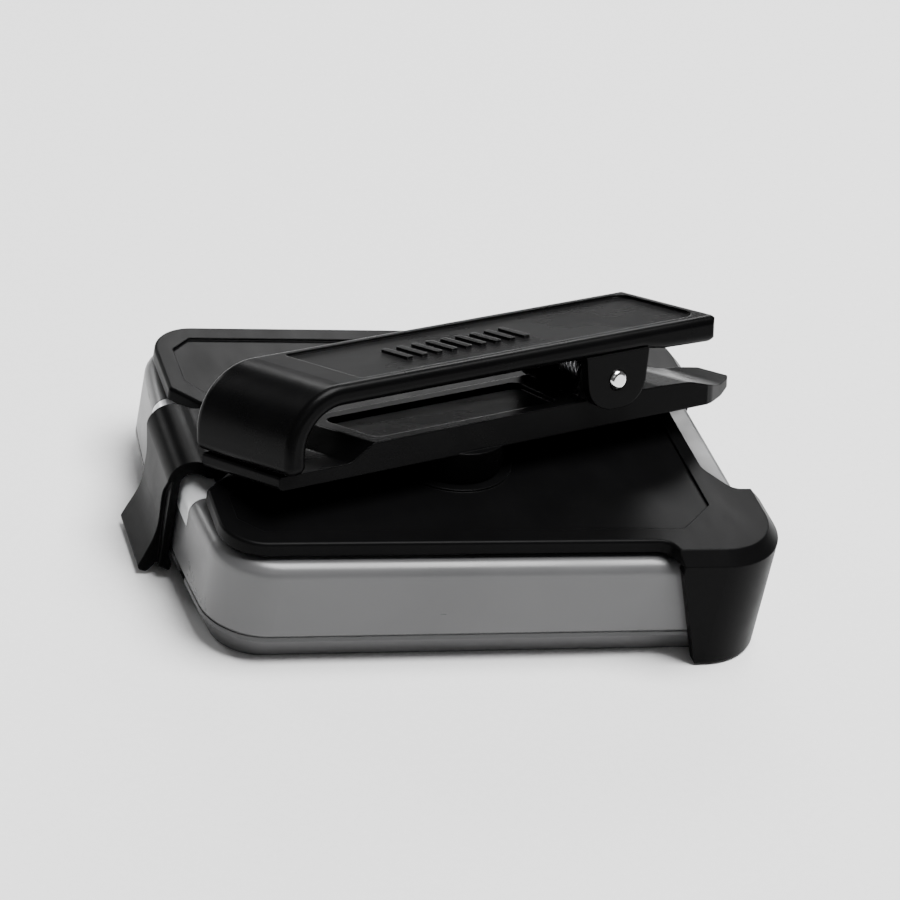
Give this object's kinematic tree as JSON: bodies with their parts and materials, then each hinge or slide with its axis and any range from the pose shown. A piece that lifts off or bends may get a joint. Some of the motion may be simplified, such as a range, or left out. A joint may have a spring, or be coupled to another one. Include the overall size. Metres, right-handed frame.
{
  "type": "belt pager in a clip holster",
  "caption": "Slim grey pager with a dark front window and side keys, held face down in a black cradle whose latch, claws and sprung swivel clip hang it on a belt.",
  "frame": {"origin": "centre of the pager's front window, on the face it rests on", "axes": "+Z out of the pager's back, through the holster and clip; +X towards the keys and the holster's claws, -X towards the latch and the alert lens; +Y across the pager so that X, Y, Z are right-handed"},
  "size_m": [0.0932, 0.0662, 0.0393],
  "materials": {
    "case_front": "fine-textured cool grey moulding",
    "case_back": "satin grey moulding with a soft sheen",
    "door_plastic": "satin grey moulding",
    "window_gloss": "polished dark lens",
    "strip_silver": "satin silver paint",
    "key_grey": "satin moulded key",
    "gasket": "soft black seal",
    "display_glass": "green-grey display",
    "board": "green laminate",
    "shield_tin": "tinned steel",
    "cell_wrap": "printed film without text",
    "sprung_contact": "plated spring contacts",
    "gold_contact": "gold-plated contact",
    "motor_steel": "drawn steel can",
    "weight_brass": "sintered heavy metal",
    "buzzer_can": "black moulding",
    "copper_loop": "bare copper sheet",
    "lamp_body": "milky lamp body",
    "alert_lens": "frosted clear lens",
    "bar_chrome": "bright plated wire",
    "screw_steel": "black-oxide screw",
    "pad_rubber": "soft ribbed pad",
    "holster_plastic": "satin black with a fine spark texture",
    "latch_plastic": "satin black with a fine spark texture",
    "clip_base_plastic": "satin black with a fine spark texture",
    "clip_lever_plastic": "satin black with a fine spark texture",
    "pin_steel": "ground steel pin",
    "spring_steel": "bright spring wire",
    "stud_steel": "turned steel stud",
    "washer_nylon": "natural nylon"
  },
  "bodies": {
    "pager": {"front_housing": "case_front", "back_housing": "case_back", "case_gasket": "gasket", "front_window": "window_gloss", "key_strip": "strip_silver", "display_module": "display_glass", "circuit_board": "board", "shield_can": "shield_tin", "battery": "cell_wrap", "battery_contacts": "sprung_contact", "charge_contacts": "gold_contact", "vibration_motor": "motor_steel", "buzzer": "buzzer_can", "antenna": "copper_loop", "alert_lamp": "lamp_body", "alert_lens": "alert_lens", "lanyard_bar": "bar_chrome", "case_screws": "screw_steel", "grip_pads": "pad_rubber"},
    "door": {"battery_door": "door_plastic"},
    "left_key": {"key_left": "key_grey"},
    "middle_key": {"key_middle": "key_grey"},
    "right_key": {"key_right": "key_grey"},
    "weight": {"vibration_weight": "weight_brass"},
    "cradle": {"holster": "holster_plastic", "swivel_stud": "stud_steel", "swivel_washer": "washer_nylon"},
    "latch": {"latch_arm": "latch_plastic"},
    "clip_frame": {"clip_base": "clip_base_plastic", "clip_pin": "pin_steel", "clip_spring": "spring_steel"},
    "clip_jaw": {"clip_lever": "clip_lever_plastic"}
  },
  "joints": [
    {"name": "holster_tip", "type": "hinge", "parent": "pager", "child": "cradle", "pos_m": [0.043, 0, 0.002], "axis": [0, 1, 0], "range_deg": [0, 6]},
    {"name": "latch_flex", "type": "hinge", "parent": "cradle", "child": "latch", "pos_m": [-0.03752, 0, 0.0188], "axis": [0, 1, 0], "range_deg": [0, 12]},
    {"name": "clip_swivel", "type": "hinge", "parent": "cradle", "child": "clip_frame", "pos_m": [-0.0022, -0.0062, 0.0198], "axis": [0, 0, 1], "range_deg": [-60, 60]},
    {"name": "clip_squeeze", "type": "hinge", "parent": "clip_frame", "child": "clip_jaw", "pos_m": [0.01947, 0.00287, 0.03021], "axis": [-0.2907, 0.9163, -0.2756], "range_deg": [0, 12], "stiffness_Nm_per_rad": 0.9, "springref_deg": -14.32, "deforming": ["clip_spring"]},
    {"name": "key_left_press", "type": "slide", "parent": "pager", "child": "left_key", "axis": [0, 0, 1], "range_m": [0, 0.0005], "stiffness_N_per_m": 400, "springref_m": -0.001},
    {"name": "key_middle_press", "type": "slide", "parent": "pager", "child": "middle_key", "axis": [0, 0, 1], "range_m": [0, 0.0005], "stiffness_N_per_m": 400, "springref_m": -0.001},
    {"name": "key_right_press", "type": "slide", "parent": "pager", "child": "right_key", "axis": [0, 0, 1], "range_m": [0, 0.0005], "stiffness_N_per_m": 400, "springref_m": -0.001},
    {"name": "battery_door_slide", "type": "slide", "parent": "pager", "child": "door", "axis": [1, 0, 0], "range_m": [0, 0.006]},
    {"name": "vibration_weight_spin", "type": "hinge", "parent": "pager", "child": "weight", "pos_m": [0, -0.0216, 0.01], "axis": [1, 0, 0], "continuous": true}
  ],
  "couplings": [
    {"joint": "latch_flex", "follows": "holster_tip", "ratio": 2}
  ]
}
